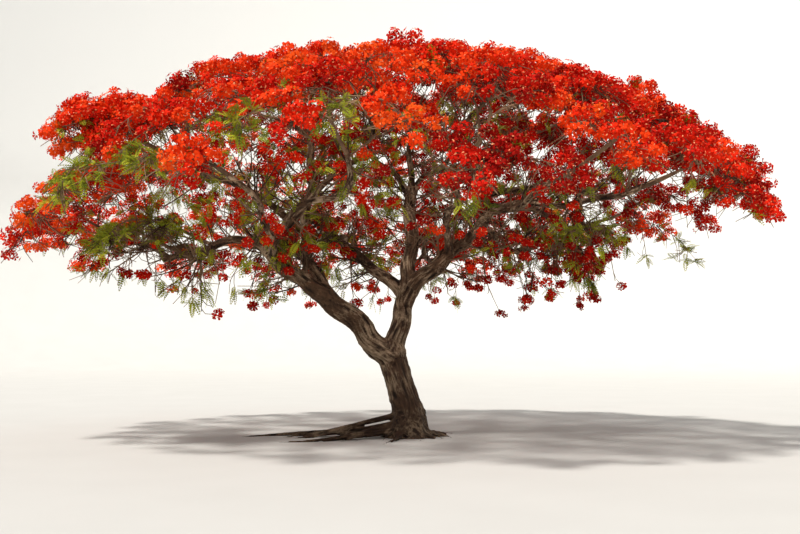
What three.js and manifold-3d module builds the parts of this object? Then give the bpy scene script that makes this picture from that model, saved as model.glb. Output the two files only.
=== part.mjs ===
// A flame tree in full bloom: a short leaning trunk with root ridges, two forked stems, long boughs,
// and a wide, flat-topped crown of blossom masses on seeded twigs.
// Millimetres. The trunk's flat cut lies on z = 0 and is centred on the origin. +X is the side of the
// long right-hand bough, +Y is away from the side the tree is usually seen from, and +Z is up.
import * as THREE from 'three';
import { mergeVertices } from 'three/addons/utils/BufferGeometryUtils.js';
import Module from 'manifold-3d';

const wasm = await Module();
wasm.setup();

// Crown: one flattened dome that every mass of blossom keeps under.
const CROWN_TOP = 6880;
const CROWN_DROP = 2900;
const CROWN_CURVE = 2.4;
const CROWN_REACH = { right: 6350, left: 6850, near: 6000, far: 6450 };
const CROWN_DEPTH = 1250;

// Trunk: its centre line, its girth, the flare of its root collar, the swelling on the left below the
// fork, the flutes down its sides, and the share of its height where it starts to close over.
const TRUNK_LINE = [[0, 0, 0], [35, 0, 400], [-90, 0, 820], [-205, 0, 1260], [-245, 0, 1620]];
const TRUNK_WAIST = 292;
const TRUNK_TIP = 218;
const FLARE = 150;
const FLARE_HEIGHT = 210;
const FORK_SWELL = 70;
const SWELL_FROM = 0.55;
const SWELL_FULL = 0.9;
const CROTCH = 0.8;
const CROTCH_CLOSING = 0.8;
const FLUTES = 5;
const FLUTE_DEPTH = 0.09;
const FLUTE_TWIST = 1.5;
const FLUTE_FADE = 0.83;
const TRUNK_SIDES = 14;
const TRUNK_STEPS = 9;

// Root ridges that run out over the ground: heading in degrees, length, girth at the collar, bend, and
// how many girths up the collar each one starts. A bundle of them crosses over itself on the left.
const ROOTS = [
  { heading: 184, length: 2950, girth: 88, bend: -22, rise: 1.9 },
  { heading: 177, length: 2150, girth: 64, bend: 12, rise: 6.4 },
  { heading: 190, length: 2000, girth: 58, bend: -12, rise: 4.6 },
  { heading: 200, length: 2350, girth: 72, bend: 20, rise: 2.2 },
  { heading: 168, length: 2000, girth: 64, bend: 20, rise: 3.4 },
  { heading: 216, length: 1600, girth: 72, bend: -22, rise: 2 },
  { heading: 246, length: 850, girth: 86, bend: 18, rise: 1.6 },
  { heading: 322, length: 520, girth: 115, bend: 12, rise: 1.4 },
  { heading: 12, length: 600, girth: 120, bend: -14, rise: 1.4 },
  { heading: 62, length: 800, girth: 108, bend: 16, rise: 1.5 },
  { heading: 118, length: 950, girth: 105, bend: -18, rise: 1.5 },
];
const ROOT_INSET = 94;
const ROOT_FALL = 1.25;
const ROOT_SINK = 8;
const ROOT_TIP = 0.22;
const ROOT_TAPER = 0.8;
const ROOT_BENDS = 1.6;
const ROOT_STEPS = 5;
const ROOT_SIDES = 5;

// Stems and main limbs: where each one starts on its parent, where it ends, the heading and rise in
// degrees that it leaves and arrives with, and its radius at both ends.
const LIMBS = [
  { name: 'left_stem', on: 'trunk', at: 0.86, to: [-1540, -180, 2620],
    leave: [182, 38], arrive: [186, 44], radius: [208, 180] },
  { name: 'mid_stem', on: 'trunk', at: 0.93, to: [65, 90, 2680],
    leave: [40, 78], arrive: [20, 72], radius: [184, 162] },
  { name: 'left_arm', on: 'left_stem', at: 0.95, to: [-2500, -520, 3340],
    leave: [196, 26], arrive: [205, 46], radius: [158, 105] },
  { name: 'left_upright', on: 'left_stem', at: 0.84, to: [-1900, 500, 4080],
    leave: [166, 52], arrive: [110, 76], radius: [136, 98] },
  { name: 'left_low_limb', on: 'left_arm', at: 0.96, to: [-4200, -900, 3080],
    leave: [188, 34], arrive: [190, -14], radius: [78, 56] },
  { name: 'mid_left_limb', on: 'mid_stem', at: 0.84, to: [-1430, 1320, 3760],
    leave: [140, 46], arrive: [128, 38], radius: [112, 86] },
  { name: 'centre_stem', on: 'mid_stem', at: 0.96, to: [90, 420, 4500],
    leave: [100, 82], arrive: [80, 78], radius: [138, 106] },
  { name: 'right_stem', on: 'mid_stem', at: 0.97, to: [1290, 0, 3650],
    leave: [-10, 48], arrive: [-4, 38], radius: [148, 120] },
  { name: 'right_upright', on: 'right_stem', at: 0.96, to: [1400, -20, 4950],
    leave: [10, 58], arrive: [185, 84], radius: [112, 84] },
];

// Masses: the limb and place that the mass's own bough starts from, the heading in degrees and the
// distance out from the trunk's foot, and how far it is lifted above the dome. A mass that stands off
// the dome has a reach and a number of sprays of its own. A leafy mass is green, the others blossom.
const MASSES = [
  { name: 'crown_top', on: 'centre_stem', at: 0.97, heading: 150, out: 250 },
  { name: 'top_right', on: 'right_upright', at: 0.96, heading: 8, out: 2950 },
  { name: 'top_far_right', on: 'centre_stem', at: 0.9, heading: 58, out: 2900 },
  { name: 'top_far_left', on: 'centre_stem', at: 0.93, heading: 112, out: 2900 },
  { name: 'top_left_far', on: 'left_upright', at: 0.96, heading: 160, out: 3050, lift: 250 },
  { name: 'top_left', on: 'left_upright', at: 0.9, heading: 206, out: 3150, lift: 220 },
  { name: 'top_near_left', on: 'left_arm', at: 0.9, heading: 250, out: 2800 },
  { name: 'top_near_right', on: 'right_upright', at: 0.7, heading: 302, out: 2850 },
  { name: 'right_tip', on: 'right_upright', at: 0.55, heading: 358, out: 5250, lift: 520 },
  { name: 'right_far', on: 'right_upright', at: 0.4, heading: 26, out: 5300, lift: 150 },
  { name: 'far_right', on: 'right_stem', at: 0.9, heading: 52, out: 5300, lift: -200 },
  { name: 'far_mid_right', on: 'centre_stem', at: 0.45, heading: 78, out: 5300, lift: -350 },
  { name: 'far_mid_left', on: 'mid_left_limb', at: 0.9, heading: 104, out: 5300, lift: -350 },
  { name: 'far_left', on: 'mid_left_limb', at: 0.96, heading: 130, out: 5450, lift: -300 },
  { name: 'left_far', on: 'left_upright', at: 0.5, heading: 155, out: 5600, lift: -200 },
  { name: 'left_tip', on: 'left_low_limb', at: 0.96, heading: 182, out: 5800, lift: -400 },
  { name: 'left_lobe', on: 'left_upright', at: 0.75, heading: 207, out: 5450, lift: 740,
    reach: 850, sprays: 13 },
  { name: 'near_left', on: 'left_arm', at: 0.8, heading: 231, out: 5200, lift: 150 },
  { name: 'near_mid_left', on: 'left_arm', at: 0.97, heading: 257, out: 4900, lift: 300 },
  { name: 'near_mid_right', on: 'right_stem', at: 0.6, heading: 283, out: 4900, lift: 300 },
  { name: 'near_right', on: 'right_stem', at: 0.85, heading: 309, out: 5050, lift: 280 },
  { name: 'right_near', on: 'right_upright', at: 0.3, heading: 334, out: 5200, lift: 200 },
  { name: 'low_left', on: 'left_low_limb', at: 0.5, heading: 199, out: 4750, lift: -1500,
    reach: 1000, sprays: 10, leafy: true },
  { name: 'low_right', on: 'right_stem', at: 0.75, heading: 4, out: 3200, lift: -1900,
    reach: 800, sprays: 8, leafy: true },
];

// Boughs: radius at both ends, how many degrees steeper than its span each one leaves and the steepest
// that any does, and where it ends: this far in from the middle of its mass and this far below it, but
// never past this share of the way in.
const BOUGH_RADIUS = [68, 42];
const BOUGH_LIFT = 17;
const BOUGH_STEEPEST = 78;
const FOOT_INSET = 950;
const FOOT_DROP = 420;
const FOOT_SHARE = 0.8;

// Every limb: its handles as a share of its span, the thicker collar at its start, and its waver.
const LIMB_STEPS = 6;
const LIMB_SIDES = 7;
const BOUGH_STEPS = 5;
const BOUGH_SIDES = 5;
const HANDLE = 0.36;
const COLLAR = 0.28;
const COLLAR_FADE = 9;
const WAVER = 0.03;
const WAVER_TURNS = [9, 8, 10];
const WAVER_RISE = 0.7;

// Sprays: how many lie along the dome, their half length and half width, how they tilt and keep apart,
// how deep they hang below the crown's surface, and how low the rim of a mass off the dome hangs.
const DOME_SPRAYS = 300;
const DOME_SPREAD = 0.47;
const SPRAY_SINK = 0.5;
const RIM_DROP = 0.35;
const SPRAY_LENGTH = 390;
const SPRAY_WIDTH = 290;
const SPRAY_VARIES = 0.2;
const SPRAY_THICKNESS = 65;
const SPRAY_TILT = 0.3;
const SPRAY_SPACING = 330;
const SLOPE_STEP = 100;

// Twigs: a far spray sits on a twig of its own that runs this share into it, and a near one is rooted
// in its bud and reaches past its place. A twig is thinner than what bears it, and bears buds itself.
const STEM_RADIUS = [36, 22];
const TWIG_TAPER = [0.62, 0.45];
const TWIG_HOLD = 0.45;
const NEAR_REACH = 1000;
const NEAR_PAST = 150;
const FEW_BUDS = 4;
const STEM_BUDS = [0.25, 0.4, 0.55, 0.7, 0.85, 1];
const TWIG_BUDS = [0.25, 0.45, 0.65, 0.85];
const STEM_SIDES = 4;
const TWIG_SIDES = 3;

// What keeps a spray inside its mass's own space and off the limbs.
const LIMB_CLEARANCE = 25;
const CLEARANCE_SAMPLES = 8;
const CELL_MARGIN = 12;
const SETTLE_TURNS = 3;

// Starts of the repeatable draws, by what they serve.
const SEED = { limbs: 11, dome: 1, lobes: 51, masses: 101 };
const GOLDEN_ANGLE = Math.PI * (3 - Math.sqrt(5));

// Neighbouring pieces stay this far apart.
const GAP = 0.3;

const BARK = { color: 0x8a705a, roughness: 0.9, metalness: 0 };
const BLOOM = { color: 0xe0301c, roughness: 0.6, metalness: 0 };
const LEAF = { color: 0x93a53c, roughness: 0.65, metalness: 0 };

const vec = (list) => new THREE.Vector3(...list);
const radians = THREE.MathUtils.degToRad;
const degrees = THREE.MathUtils.radToDeg;
const mix = THREE.MathUtils.lerp;

// A repeatable stream of numbers from 0 to 1: the Park and Miller generator.
const DRAW_MODULUS = 2147483647;
const DRAW_FACTOR = 48271;
const DRAW_FIRST = 104729;
const DRAW_STRIDE = 7919;

function draws(seed) {
  let state = (seed * DRAW_STRIDE + DRAW_FIRST) % DRAW_MODULUS;
  return () => {
    state = (state * DRAW_FACTOR) % DRAW_MODULUS;
    return state / DRAW_MODULUS;
  };
}

// The way that a heading and a rise in degrees point.
function direction(heading, rise) {
  const h = radians(heading);
  const r = radians(rise);
  return new THREE.Vector3(Math.cos(h) * Math.cos(r), Math.sin(h) * Math.cos(r), Math.sin(r));
}

// Height of the crown's upper surface over a place on the ground.
function crownHeight(x, y) {
  const acrossX = x / (x > 0 ? CROWN_REACH.right : CROWN_REACH.left);
  const acrossY = y / (y > 0 ? CROWN_REACH.far : CROWN_REACH.near);
  return CROWN_TOP - CROWN_DROP * Math.hypot(acrossX, acrossY) ** CROWN_CURVE;
}

// The way that the crown's upper surface faces there.
function crownNormal(x, y) {
  const slopeX = crownHeight(x - SLOPE_STEP, y) - crownHeight(x + SLOPE_STEP, y);
  const slopeY = crownHeight(x, y - SLOPE_STEP) - crownHeight(x, y + SLOPE_STEP);
  return new THREE.Vector3(slopeX, slopeY, 2 * SLOPE_STEP).normalize();
}

// Solids.

function solidOf(geometry) {
  geometry.deleteAttribute('normal');
  geometry.deleteAttribute('uv');
  const merged = mergeVertices(geometry, 1e-3);
  const mesh = new wasm.Mesh({
    numProp: 3,
    vertProperties: new Float32Array(merged.attributes.position.array),
    triVerts: new Uint32Array(merged.index.array),
  });
  return new wasm.Manifold(mesh);
}

function geometryOf(solid) {
  const mesh = solid.getMesh();
  const geometry = new THREE.BufferGeometry();
  geometry.setAttribute('position', new THREE.BufferAttribute(mesh.vertProperties, 3));
  geometry.setIndex(new THREE.BufferAttribute(mesh.triVerts, 1));
  return geometry;
}

function largestPart(solid) {
  return solid.decompose().reduce((best, part) => (part.volume() > best.volume() ? part : best));
}

// Closes a skin over rings of points that all have the same count.
function skin(rings) {
  const sides = rings[0].length;
  const points = rings.flat();
  const start = points.length;
  const end = start + 1;
  points.push(centreOf(rings[0]), centreOf(rings.at(-1)));
  const faces = [];
  for (let i = 0; i < rings.length - 1; i += 1) {
    for (let k = 0; k < sides; k += 1) {
      const a = i * sides + k;
      const b = i * sides + ((k + 1) % sides);
      faces.push(a, b, b + sides, a, b + sides, a + sides);
    }
  }
  const last = (rings.length - 1) * sides;
  for (let k = 0; k < sides; k += 1) {
    const next = (k + 1) % sides;
    faces.push(start, next, k);
    faces.push(end, last + k, last + next);
  }
  const geometry = new THREE.BufferGeometry().setFromPoints(points);
  geometry.setIndex(faces);
  return geometry;
}

function centreOf(ring) {
  return ring.reduce((sum, p) => sum.add(p), new THREE.Vector3()).divideScalar(ring.length);
}

// A tapering limb along a line of points, with a radius at each of them, grown by extra all over.
function taperedSolid(line, radii, sides, extra = 0) {
  const steps = line.length - 1;
  const frames = new THREE.CatmullRomCurve3(line).computeFrenetFrames(steps);
  const rings = line.map((centre, i) => {
    const middle = centre.clone();
    if (i === 0) middle.addScaledVector(frames.tangents[i], -extra);
    if (i === steps) middle.addScaledVector(frames.tangents[i], extra);
    return ringAround(middle, frames.normals[i], frames.binormals[i], radii[i] + extra, sides);
  });
  return solidOf(skin(rings));
}

function ringAround(centre, side, up, radius, sides) {
  const ring = [];
  for (let k = 0; k < sides; k += 1) {
    const turn = (2 * Math.PI * k) / sides;
    ring.push(centre.clone()
      .addScaledVector(side, radius * Math.cos(turn))
      .addScaledVector(up, radius * Math.sin(turn)));
  }
  return ring;
}

// Trunk.

const trunkCurve = new THREE.CatmullRomCurve3(TRUNK_LINE.map(vec));

function trunkRadius(share, height, turn, extra) {
  const flare = FLARE * Math.exp(-height / FLARE_HEIGHT);
  const nearFork = THREE.MathUtils.smoothstep(share, SWELL_FROM, SWELL_FULL);
  const swell = FORK_SWELL * nearFork * Math.max(0, -Math.cos(turn)) ** 2;
  const fade = 1 - FLUTE_FADE * share;
  const flutes = 1 + FLUTE_DEPTH * fade * Math.sin(FLUTES * turn + FLUTE_TWIST * share);
  return (mix(TRUNK_WAIST, TRUNK_TIP, share) + flare + swell) * flutes + extra;
}

function trunkColumn(extra) {
  const rings = [];
  for (let i = 0; i <= TRUNK_STEPS; i += 1) {
    const share = i / TRUNK_STEPS;
    const centre = trunkCurve.getPoint(share);
    const pastCrotch = Math.max(0, (share - CROTCH) / (1 - CROTCH));
    const closing = Math.sqrt(1 - CROTCH_CLOSING * pastCrotch ** 2);
    centre.z += i === TRUNK_STEPS ? extra : 0;
    const ring = [];
    for (let k = 0; k < TRUNK_SIDES; k += 1) {
      const turn = (2 * Math.PI * k) / TRUNK_SIDES;
      const radius = trunkRadius(share, centre.z, turn, extra) * closing;
      ring.push(new THREE.Vector3(
        centre.x + radius * Math.cos(turn), centre.y + radius * Math.sin(turn), centre.z));
    }
    rings.push(ring);
  }
  return solidOf(skin(rings));
}

// A root ridge sinks into the ground as it thins, bending to one side.
function rootRidge(root) {
  const line = [];
  const radii = [];
  const place = direction(root.heading, 0).multiplyScalar(ROOT_INSET);
  for (let i = 0; i <= ROOT_STEPS; i += 1) {
    const share = i / ROOT_STEPS;
    place.z = root.rise * root.girth * (1 - share) ** ROOT_FALL - ROOT_SINK * share;
    line.push(place.clone());
    radii.push(root.girth * mix(1, ROOT_TIP, share ** ROOT_TAPER));
    const heading = root.heading + root.bend * Math.sin(Math.PI * ROOT_BENDS * share);
    place.addScaledVector(direction(heading, 0), root.length / ROOT_STEPS);
  }
  return taperedSolid(line, radii, ROOT_SIDES);
}

function trunkSolid() {
  const joined = ROOTS.reduce((solid, root) => solid.add(rootRidge(root)), trunkColumn(0));
  return joined.trimByPlane([0, 0, 1], 0);
}

// Limbs and boughs.

// The points of a limb: a cubic curve between its ends with a small seeded waver.
function limbLine(start, limb, steps, seed) {
  const next = draws(seed);
  const end = vec(limb.to);
  const handle = start.distanceTo(end) * HANDLE;
  const curve = new THREE.CubicBezierCurve3(
    start,
    start.clone().addScaledVector(direction(...limb.leave), handle),
    end.clone().addScaledVector(direction(...limb.arrive), -handle),
    end,
  );
  const sway = [next(), next(), next()].map((d) => 2 * Math.PI * d);
  const size = start.distanceTo(end) * WAVER;
  return curve.getSpacedPoints(steps).map((p, i) => {
    const share = i / steps;
    const swing = size * Math.sin(Math.PI * share);
    p.x += swing * Math.sin(WAVER_TURNS[0] * share + sway[0]);
    p.y += swing * Math.sin(WAVER_TURNS[1] * share + sway[1]);
    p.z += swing * WAVER_RISE * Math.sin(WAVER_TURNS[2] * share + sway[2]);
    return p;
  });
}

function limbRadii([base, tip], steps) {
  return Array.from({ length: steps + 1 }, (_, i) => {
    const share = i / steps;
    return mix(base, tip, share) * (1 + COLLAR * Math.exp(-COLLAR_FADE * share));
  });
}

function startOf(limb, made) {
  return new THREE.CatmullRomCurve3(made.get(limb.on).line).getPoint(limb.at);
}

// Adds one limb to those made so far, cut clear of every limb that it would run into.
function growLimb(limb, steps, sides, made) {
  const start = startOf(limb, made);
  const line = limbLine(start, limb, steps, made.size + SEED.limbs);
  const radii = limbRadii(limb.radius, steps);
  let solid = taperedSolid(line, radii, sides);
  for (const other of made.values()) {
    if (boxesMeet(solid, other.grown)) solid = solid.subtract(other.grown);
  }
  const grown = taperedSolid(line, radii, sides, GAP);
  made.set(limb.name, { line, radii, solid: largestPart(solid), grown });
}

function boxesMeet(a, b) {
  const first = a.boundingBox();
  const second = b.boundingBox();
  return [0, 1, 2].every((k) => first.min[k] <= second.max[k] && second.min[k] <= first.max[k]);
}

// The middle of a mass, at mid depth under the dome, and the foot where its bough ends.
function massPlace(mass) {
  const outward = direction(mass.heading, 0);
  const middle = outward.clone().multiplyScalar(mass.out);
  middle.z = crownHeight(middle.x, middle.y) + (mass.lift ?? 0) - CROWN_DEPTH / 2;
  const inset = Math.min(FOOT_INSET, mass.out * FOOT_SHARE);
  const foot = middle.clone().addScaledVector(outward, -inset);
  foot.z -= FOOT_DROP;
  return { middle, foot };
}

// The heading and rise in degrees from one point to another.
function headingAndRise(from, to) {
  const way = to.clone().sub(from).normalize();
  return [degrees(Math.atan2(way.y, way.x)), degrees(Math.asin(way.z))];
}

// The bough of a mass rises from its limb and points into its mass where it ends.
function boughOf(mass, made) {
  const { middle, foot } = massPlace(mass);
  const [heading, rise] = headingAndRise(startOf(mass, made), foot);
  return {
    name: `bough_${mass.name}`, on: mass.on, at: mass.at, to: foot.toArray(),
    leave: [heading, Math.min(rise + BOUGH_LIFT, BOUGH_STEEPEST)],
    arrive: headingAndRise(foot, middle), radius: BOUGH_RADIUS,
  };
}

// Masses of blossom and leaves.

const places = MASSES.map(massPlace);

// How far a point lies inside the border between a mass's own space and another mass's.
function insideBorder(point, own, other) {
  const apart = own.distanceTo(other);
  return (point.distanceToSquared(other) - point.distanceToSquared(own)) / (2 * apart);
}

function inOwnSpace(point, index) {
  const own = places[index].middle;
  return places.every(({ middle }, k) => k === index
    || insideBorder(point, own, middle) > CELL_MARGIN);
}

// Distance from a point to the nearest limb's surface.
function clearOfLimbs(point, made) {
  let nearest = Infinity;
  const place = new THREE.Vector3();
  for (const { line, radii } of made.values()) {
    for (let i = 0; i < line.length - 1; i += 1) {
      new THREE.Line3(line[i], line[i + 1]).closestPointToPoint(point, true, place);
      nearest = Math.min(nearest, place.distanceTo(point) - Math.max(radii[i], radii[i + 1]));
    }
  }
  return nearest;
}

function twigIsClear(from, to, made) {
  for (let i = 1; i <= CLEARANCE_SAMPLES; i += 1) {
    const point = from.clone().lerp(to, i / CLEARANCE_SAMPLES);
    if (clearOfLimbs(point, made) < LIMB_CLEARANCE) return false;
  }
  return true;
}

// Places of the sprays that lie along the dome, dealt to the mass that is nearest in plan.
function domePlaces() {
  const next = draws(SEED.dome);
  const dealt = MASSES.map(() => []);
  for (let k = 0; k < DOME_SPRAYS; k += 1) {
    const away = ((k + 0.5) / DOME_SPRAYS) ** DOME_SPREAD;
    const turn = k * GOLDEN_ANGLE;
    const x = away * Math.cos(turn) * (Math.cos(turn) > 0 ? CROWN_REACH.right : CROWN_REACH.left);
    const y = away * Math.sin(turn) * (Math.sin(turn) > 0 ? CROWN_REACH.far : CROWN_REACH.near);
    const sink = CROWN_DEPTH * SPRAY_SINK * next() ** 2;
    const index = nearestInPlan(x, y);
    const z = crownHeight(x, y) + (MASSES[index].lift ?? 0) - sink;
    dealt[index].push(new THREE.Vector3(x, y, z));
  }
  return dealt;
}

function nearestInPlan(x, y) {
  const gaps = MASSES.map((mass, k) => (mass.sprays ? Infinity
    : Math.hypot(x - places[k].middle.x, y - places[k].middle.y)));
  return gaps.indexOf(Math.min(...gaps));
}

// Places of the sprays of a mass that stands off the dome: a small dome of its own.
function ownPlaces(mass, index) {
  const next = draws(index + SEED.lobes);
  return Array.from({ length: mass.sprays }, (_, k) => {
    const away = Math.sqrt((k + 0.5) / mass.sprays);
    const turn = k * GOLDEN_ANGLE;
    const sink = mass.reach * (RIM_DROP * away ** 2 + SPRAY_SINK * next() ** 2);
    const place = places[index].middle.clone();
    place.x += mass.reach * away * Math.cos(turn);
    place.y += mass.reach * away * Math.sin(turn);
    place.z += mass.reach * RIM_DROP - sink;
    return place;
  });
}

// The corners of a spray: a thin lozenge with eight faces that lies along the crown's surface, from
// its near corner through its middle and as far again.
function sprayShape({ near, middle, width, tilt }) {
  const along = middle.clone().sub(near);
  const facing = crownNormal(middle.x, middle.y).add(tilt);
  const across = facing.cross(along).setLength(width);
  const up = along.clone().cross(across).setLength(SPRAY_THICKNESS);
  const place = new THREE.Matrix4().makeBasis(along, across, up).setPosition(middle);
  return new THREE.OctahedronGeometry(1).applyMatrix4(place);
}

function cornersOf(spray) {
  const corners = sprayShape(spray).attributes.position;
  return Array.from({ length: corners.count }, (_, i) => (
    new THREE.Vector3().fromBufferAttribute(corners, i)));
}

// Moves a spray back from each border that it crosses, and says whether it then fits.
function settle(spray, index, made) {
  const own = places[index].middle;
  for (let turn = 0; turn < SETTLE_TURNS; turn += 1) {
    for (const { middle } of places) {
      if (middle === own) continue;
      const inside = Math.min(...cornersOf(spray).map((p) => insideBorder(p, own, middle)));
      if (inside > CELL_MARGIN) continue;
      const back = own.clone().sub(middle).setLength(CELL_MARGIN + 1 - inside);
      spray.middle.add(back);
      if (spray.onTwig) spray.near.add(back);
    }
  }
  return cornersOf(spray).every((point) => (
    inOwnSpace(point, index) && clearOfLimbs(point, made) > LIMB_CLEARANCE))
    && twigIsClear(spray.near, spray.middle, made);
}

function budOn(from, to, radii, share) {
  return { place: from.clone().lerp(to, share), radius: mix(...radii, share) };
}

// A spray that a bud bears: on a twig of its own when it is far off, and otherwise rooted in the bud.
function sprayFrom(bud, target, budsLeft, next) {
  const away = target.clone().sub(bud.place);
  const gap = away.length();
  const onTwig = gap > NEAR_REACH || budsLeft < FEW_BUDS;
  const half = onTwig ? SPRAY_LENGTH : (gap + NEAR_PAST) / 2;
  const tip = target.clone().addScaledVector(away.normalize(), onTwig ? half : NEAR_PAST);
  const middle = tip.clone().addScaledVector(away, -half);
  const near = middle.clone().addScaledVector(away, -half);
  const tilt = new THREE.Vector3(next() - 0.5, next() - 0.5, 0).multiplyScalar(SPRAY_TILT);
  const width = SPRAY_WIDTH * mix(1 - SPRAY_VARIES, 1 + SPRAY_VARIES, next());
  return { near, middle, width, tilt, onTwig };
}

// The growth of a mass: a stem from its foot, then twigs and sprays that each spring from the nearest
// free bud.
function massSolid(mass, index, made) {
  const { middle, foot } = places[index];
  const next = draws(index + SEED.masses);
  const ahead = middle.clone().sub(foot).normalize();
  const root = foot.clone().addScaledVector(ahead, GAP);
  const stemLine = [0, 0.5, 1].map((share) => root.clone().lerp(middle, share));
  const stemRadii = [0, 0.5, 1].map((share) => mix(...STEM_RADIUS, share));
  const stem = taperedSolid(stemLine, stemRadii, STEM_SIDES).subtract(made.get(`bough_${mass.name}`).grown);
  const parts = [largestPart(stem)];
  const buds = STEM_BUDS.map((share) => budOn(root, middle, STEM_RADIUS, share));
  const middles = [];
  const targets = mass.sprays ? ownPlaces(mass, index) : dome[index];
  targets.sort((a, b) => a.distanceTo(foot) - b.distanceTo(foot));
  for (const target of targets) {
    const bud = buds.reduce((best, other) => (
      other.place.distanceTo(target) < best.place.distanceTo(target) ? other : best));
    const spray = sprayFrom(bud, target, buds.length, next);
    if (!settle(spray, index, made) || !twigIsClear(bud.place, spray.near, made)) continue;
    if (middles.some((other) => other.distanceTo(spray.middle) < SPRAY_SPACING)) continue;
    parts.push(solidOf(sprayShape(spray)));
    middles.push(spray.middle);
    buds.splice(buds.indexOf(bud), 1);
    if (!spray.onTwig) continue;
    const end = spray.near.clone().lerp(spray.middle, TWIG_HOLD);
    const radii = TWIG_TAPER.map((share) => share * bud.radius);
    parts.push(taperedSolid([bud.place, end], radii, TWIG_SIDES));
    buds.push(...TWIG_BUDS.map((share) => budOn(bud.place, end, radii, share)));
  }
  return largestPart(wasm.Manifold.union(parts));
}

// Scene graph.

function pieceOf(name, solid, look) {
  const piece = new THREE.Mesh(geometryOf(solid), new THREE.MeshStandardMaterial(look));
  piece.name = name;
  return piece;
}

const tree = new THREE.Group();
const made = new Map();
made.set('trunk', {
  line: trunkCurve.getSpacedPoints(TRUNK_STEPS),
  radii: Array(TRUNK_STEPS + 1).fill(TRUNK_WAIST + FORK_SWELL),
  solid: trunkSolid(),
  grown: trunkColumn(GAP),
});
LIMBS.forEach((limb) => growLimb(limb, LIMB_STEPS, LIMB_SIDES, made));
MASSES.forEach((mass) => growLimb(boughOf(mass, made), BOUGH_STEPS, BOUGH_SIDES, made));
made.forEach(({ solid }, name) => tree.add(pieceOf(name, solid, BARK)));
const dome = domePlaces();
MASSES.forEach((mass, index) => {
  const kind = mass.leafy ? 'leaves' : 'bloom';
  const solid = massSolid(mass, index, made);
  tree.add(pieceOf(`${kind}_${mass.name}`, solid, mass.leafy ? LEAF : BLOOM));
});

export default tree;
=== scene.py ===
# A flame tree in full bloom: a short leaning trunk, forked stems, long boughs, a flat dome of red
# blossom on fine twigs, and young feathery leaves. Metres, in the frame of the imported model.
import math
import bmesh
import bpy
import numpy as np
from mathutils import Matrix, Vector, kdtree, noise


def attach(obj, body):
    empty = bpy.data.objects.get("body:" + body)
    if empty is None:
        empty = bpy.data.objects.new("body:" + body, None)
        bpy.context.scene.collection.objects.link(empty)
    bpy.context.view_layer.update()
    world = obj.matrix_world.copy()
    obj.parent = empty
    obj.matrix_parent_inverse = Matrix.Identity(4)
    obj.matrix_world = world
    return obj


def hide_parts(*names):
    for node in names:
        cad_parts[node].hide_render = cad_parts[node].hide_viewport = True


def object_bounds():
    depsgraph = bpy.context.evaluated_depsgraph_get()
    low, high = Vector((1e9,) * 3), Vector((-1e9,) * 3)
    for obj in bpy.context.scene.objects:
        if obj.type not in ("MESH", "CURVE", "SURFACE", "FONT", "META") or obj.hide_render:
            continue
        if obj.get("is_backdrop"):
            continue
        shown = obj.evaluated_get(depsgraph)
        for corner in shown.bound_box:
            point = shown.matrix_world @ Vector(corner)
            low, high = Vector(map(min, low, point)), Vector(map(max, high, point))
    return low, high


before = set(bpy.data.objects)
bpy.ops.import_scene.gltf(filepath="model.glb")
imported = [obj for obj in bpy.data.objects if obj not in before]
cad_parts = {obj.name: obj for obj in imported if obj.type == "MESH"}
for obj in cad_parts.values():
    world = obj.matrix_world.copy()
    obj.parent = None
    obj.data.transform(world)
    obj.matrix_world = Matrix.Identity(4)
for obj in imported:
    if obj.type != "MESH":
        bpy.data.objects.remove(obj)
cad_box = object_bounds()

# Trunk, limbs and boughs
# The wood is one body: a fluted, leaning trunk with ridges of root over the ground, two stems, seven
# limbs and a long bough to each mass of the crown, all under a thin grey-brown bark. Where one leaves
# another, the wood swells over the joint. Every line and girth follows the rule of the part's solids.
TRUNK_LINE = [(0, 0, 0), (0.035, 0, 0.4), (-0.09, 0, 0.82), (-0.205, 0, 1.26), (-0.245, 0, 1.62)]
TRUNK_WAIST = 0.292
TRUNK_TIP = 0.218
FLARE = 0.15
FLARE_HEIGHT = 0.21
FORK_SWELL = 0.07
SWELL_FROM = 0.55
SWELL_FULL = 0.9
CROTCH = 0.8
CROTCH_CLOSING = 0.8
FLUTES = 5
FLUTE_DEPTH = 0.09
FLUTE_TWIST = 1.5
FLUTE_FADE = 0.83
TRUNK_STEPS = 9
TRUNK_RINGS = 60
TRUNK_SIDES = 72
ROOTS = [
    dict(heading=184, length=2.95, girth=0.088, bend=-22, rise=1.9),
    dict(heading=177, length=2.15, girth=0.064, bend=12, rise=6.4),
    dict(heading=190, length=2.00, girth=0.058, bend=-12, rise=4.6),
    dict(heading=200, length=2.35, girth=0.072, bend=20, rise=2.2),
    dict(heading=168, length=2.00, girth=0.064, bend=20, rise=3.4),
    dict(heading=216, length=1.60, girth=0.072, bend=-22, rise=2),
    dict(heading=246, length=0.85, girth=0.086, bend=18, rise=1.6),
    dict(heading=322, length=0.52, girth=0.115, bend=12, rise=1.4),
    dict(heading=12, length=0.60, girth=0.120, bend=-14, rise=1.4),
    dict(heading=62, length=0.80, girth=0.108, bend=16, rise=1.5),
    dict(heading=118, length=0.95, girth=0.105, bend=-18, rise=1.5),
]
ROOT_INSET = 0.094
ROOT_FALL = 1.25
ROOT_SINK = 0.008
ROOT_TIP = 0.22
ROOT_TAPER = 0.8
ROOT_BENDS = 1.6
ROOT_STEPS = 5
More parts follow.
